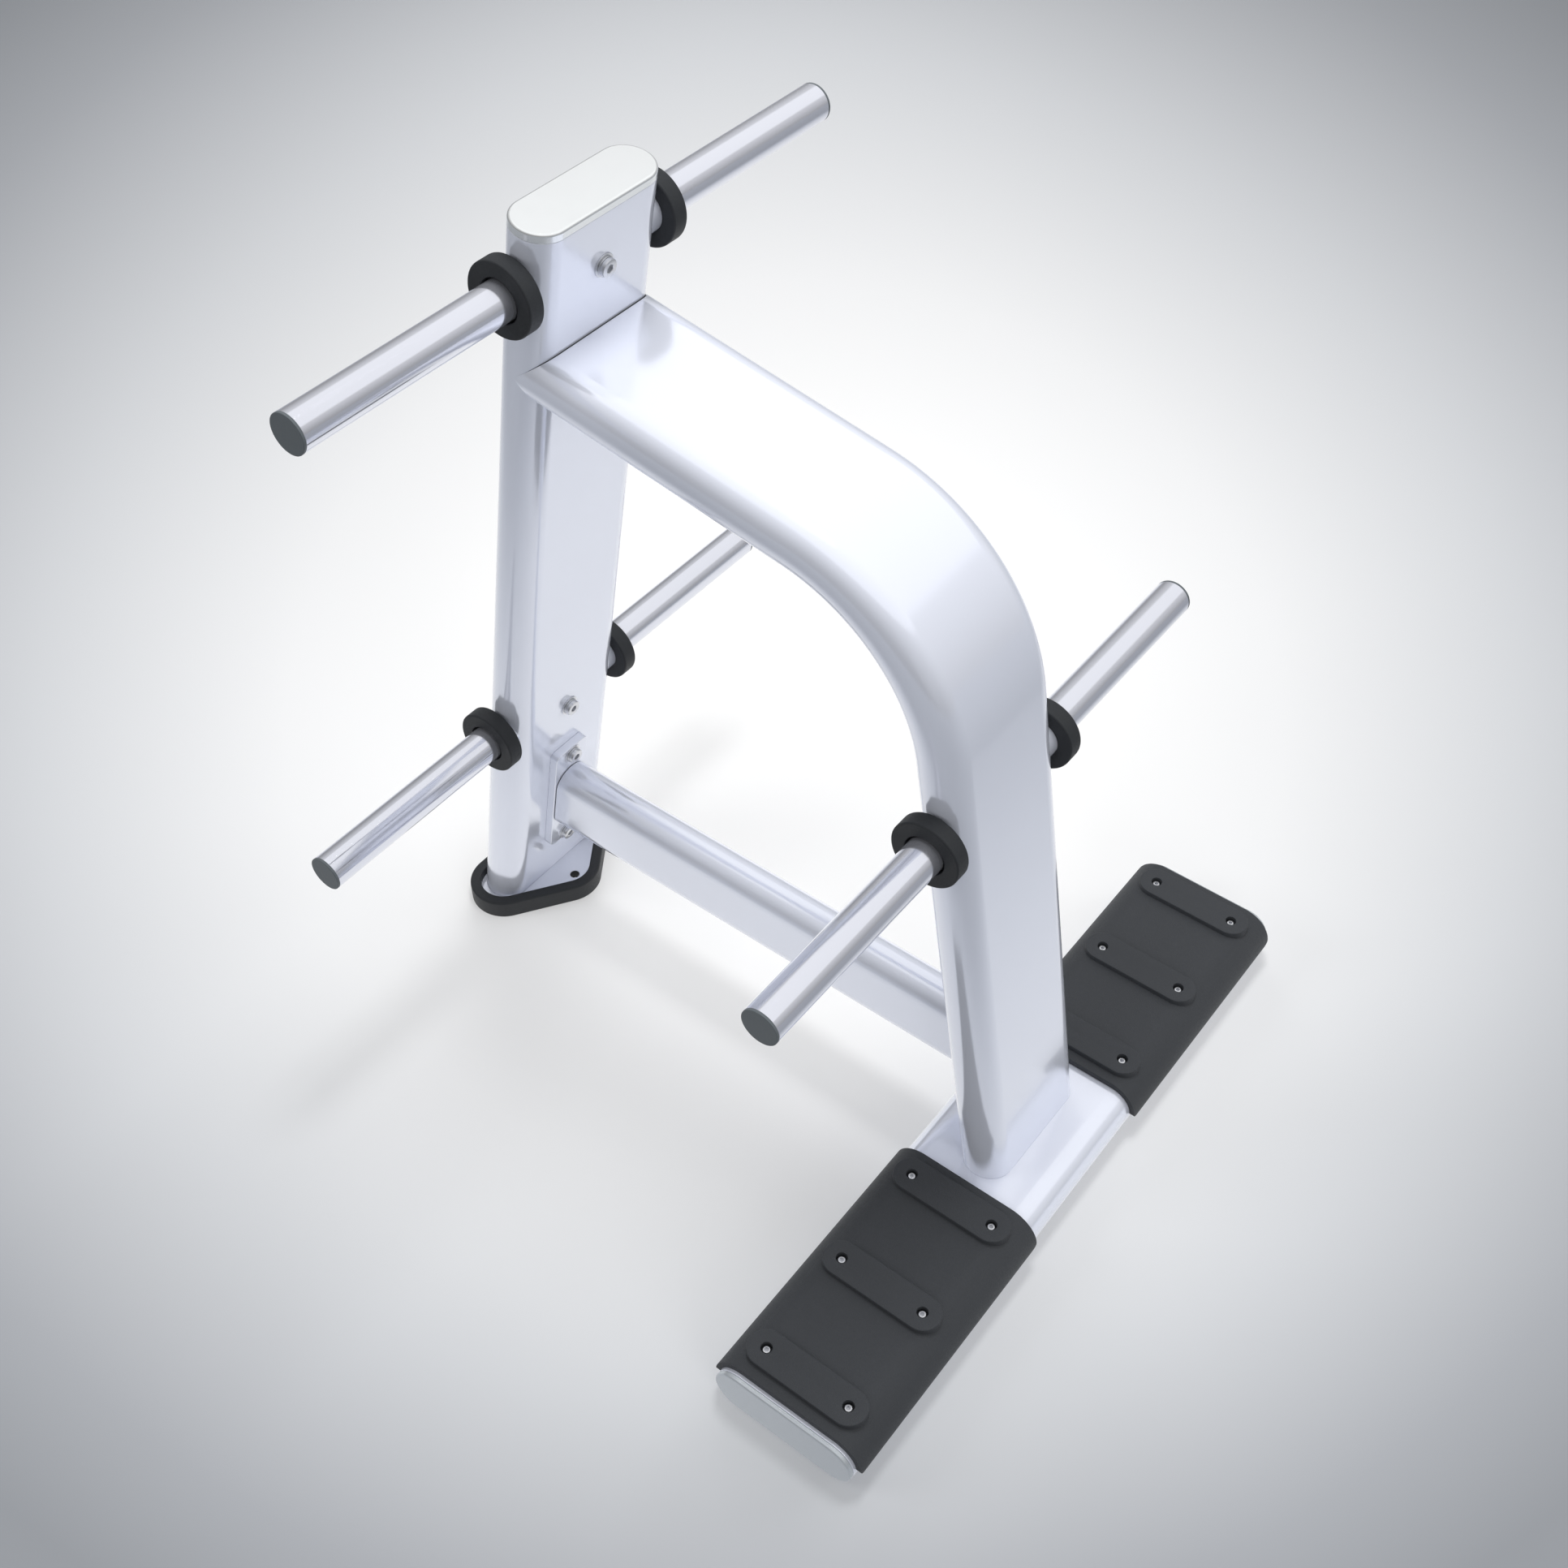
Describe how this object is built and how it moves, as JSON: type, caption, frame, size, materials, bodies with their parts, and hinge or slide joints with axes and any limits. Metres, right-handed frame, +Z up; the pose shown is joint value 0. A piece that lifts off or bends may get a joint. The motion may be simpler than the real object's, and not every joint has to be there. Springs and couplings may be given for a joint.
{
  "type": "weight plate storage stand",
  "caption": "Leaning flat-oval upright joined by a bent arch and a low cross tube to a wide base beam with ribbed step pads; chrome horn bars with rubber collars stand out to the sides.",
  "frame": {"origin": "On the floor, in the symmetry plane, midway between the front of the step pads and the back of the rubber shoe.", "axes": "+X along the horn bars and the base beam, +Y from the base beam to the rear upright, +Z up."},
  "size_m": [0.92, 0.914, 1.0775],
  "materials": {
    "paint": "glossy silver-white powder coat with a faint lavender tint",
    "cap_paint": "glossy silver-white caps, the same shade as the frame; letters on them are left out",
    "chrome": "bright chrome plate",
    "zinc": "zinc-plated fasteners",
    "rubber": "satin black-grey moulded rubber",
    "pad_rubber": "matte black-grey moulded rubber with raised ribs",
    "plastic": "dark grey moulded plastic"
  },
  "bodies": {
    "root": {"rear_upright": "paint", "upright_top_cap": "cap_paint", "foot_plate": "paint", "foot_rubber": "rubber", "front_arch": "paint", "base_beam": "paint", "base_cap_left": "cap_paint", "base_cap_right": "cap_paint", "base_glides": "plastic", "step_pad_left": "pad_rubber", "step_pad_right": "pad_rubber", "pad_screws_left": "zinc", "pad_screws_right": "zinc", "pad_nuts_left": "zinc", "pad_nuts_right": "zinc", "cross_tube": "paint", "cross_flange": "paint", "flange_bolts": "zinc", "flange_washers": "zinc", "flange_lock_washers": "zinc", "flange_nuts": "zinc", "horn_top": "chrome", "horn_front": "chrome", "horn_low": "chrome", "socket_top": "paint", "socket_front": "paint", "socket_low": "paint", "horn_slug_top": "zinc", "horn_slug_front": "zinc", "horn_slug_low": "zinc", "collar_top_left": "rubber", "collar_top_right": "rubber", "collar_front_left": "rubber", "collar_front_right": "rubber", "collar_low_left": "rubber", "collar_low_right": "rubber", "horn_cap_top_left": "plastic", "horn_cap_top_right": "plastic", "horn_cap_front_left": "plastic", "horn_cap_front_right": "plastic", "horn_cap_low_left": "plastic", "horn_cap_low_right": "plastic", "horn_bolt_top": "zinc", "horn_bolt_front": "zinc", "horn_bolt_low": "zinc", "horn_washer_top": "zinc", "horn_washer_front": "zinc", "horn_washer_low": "zinc", "horn_lock_washer_top": "zinc", "horn_lock_washer_front": "zinc", "horn_lock_washer_low": "zinc"}
  },
  "joints": []
}
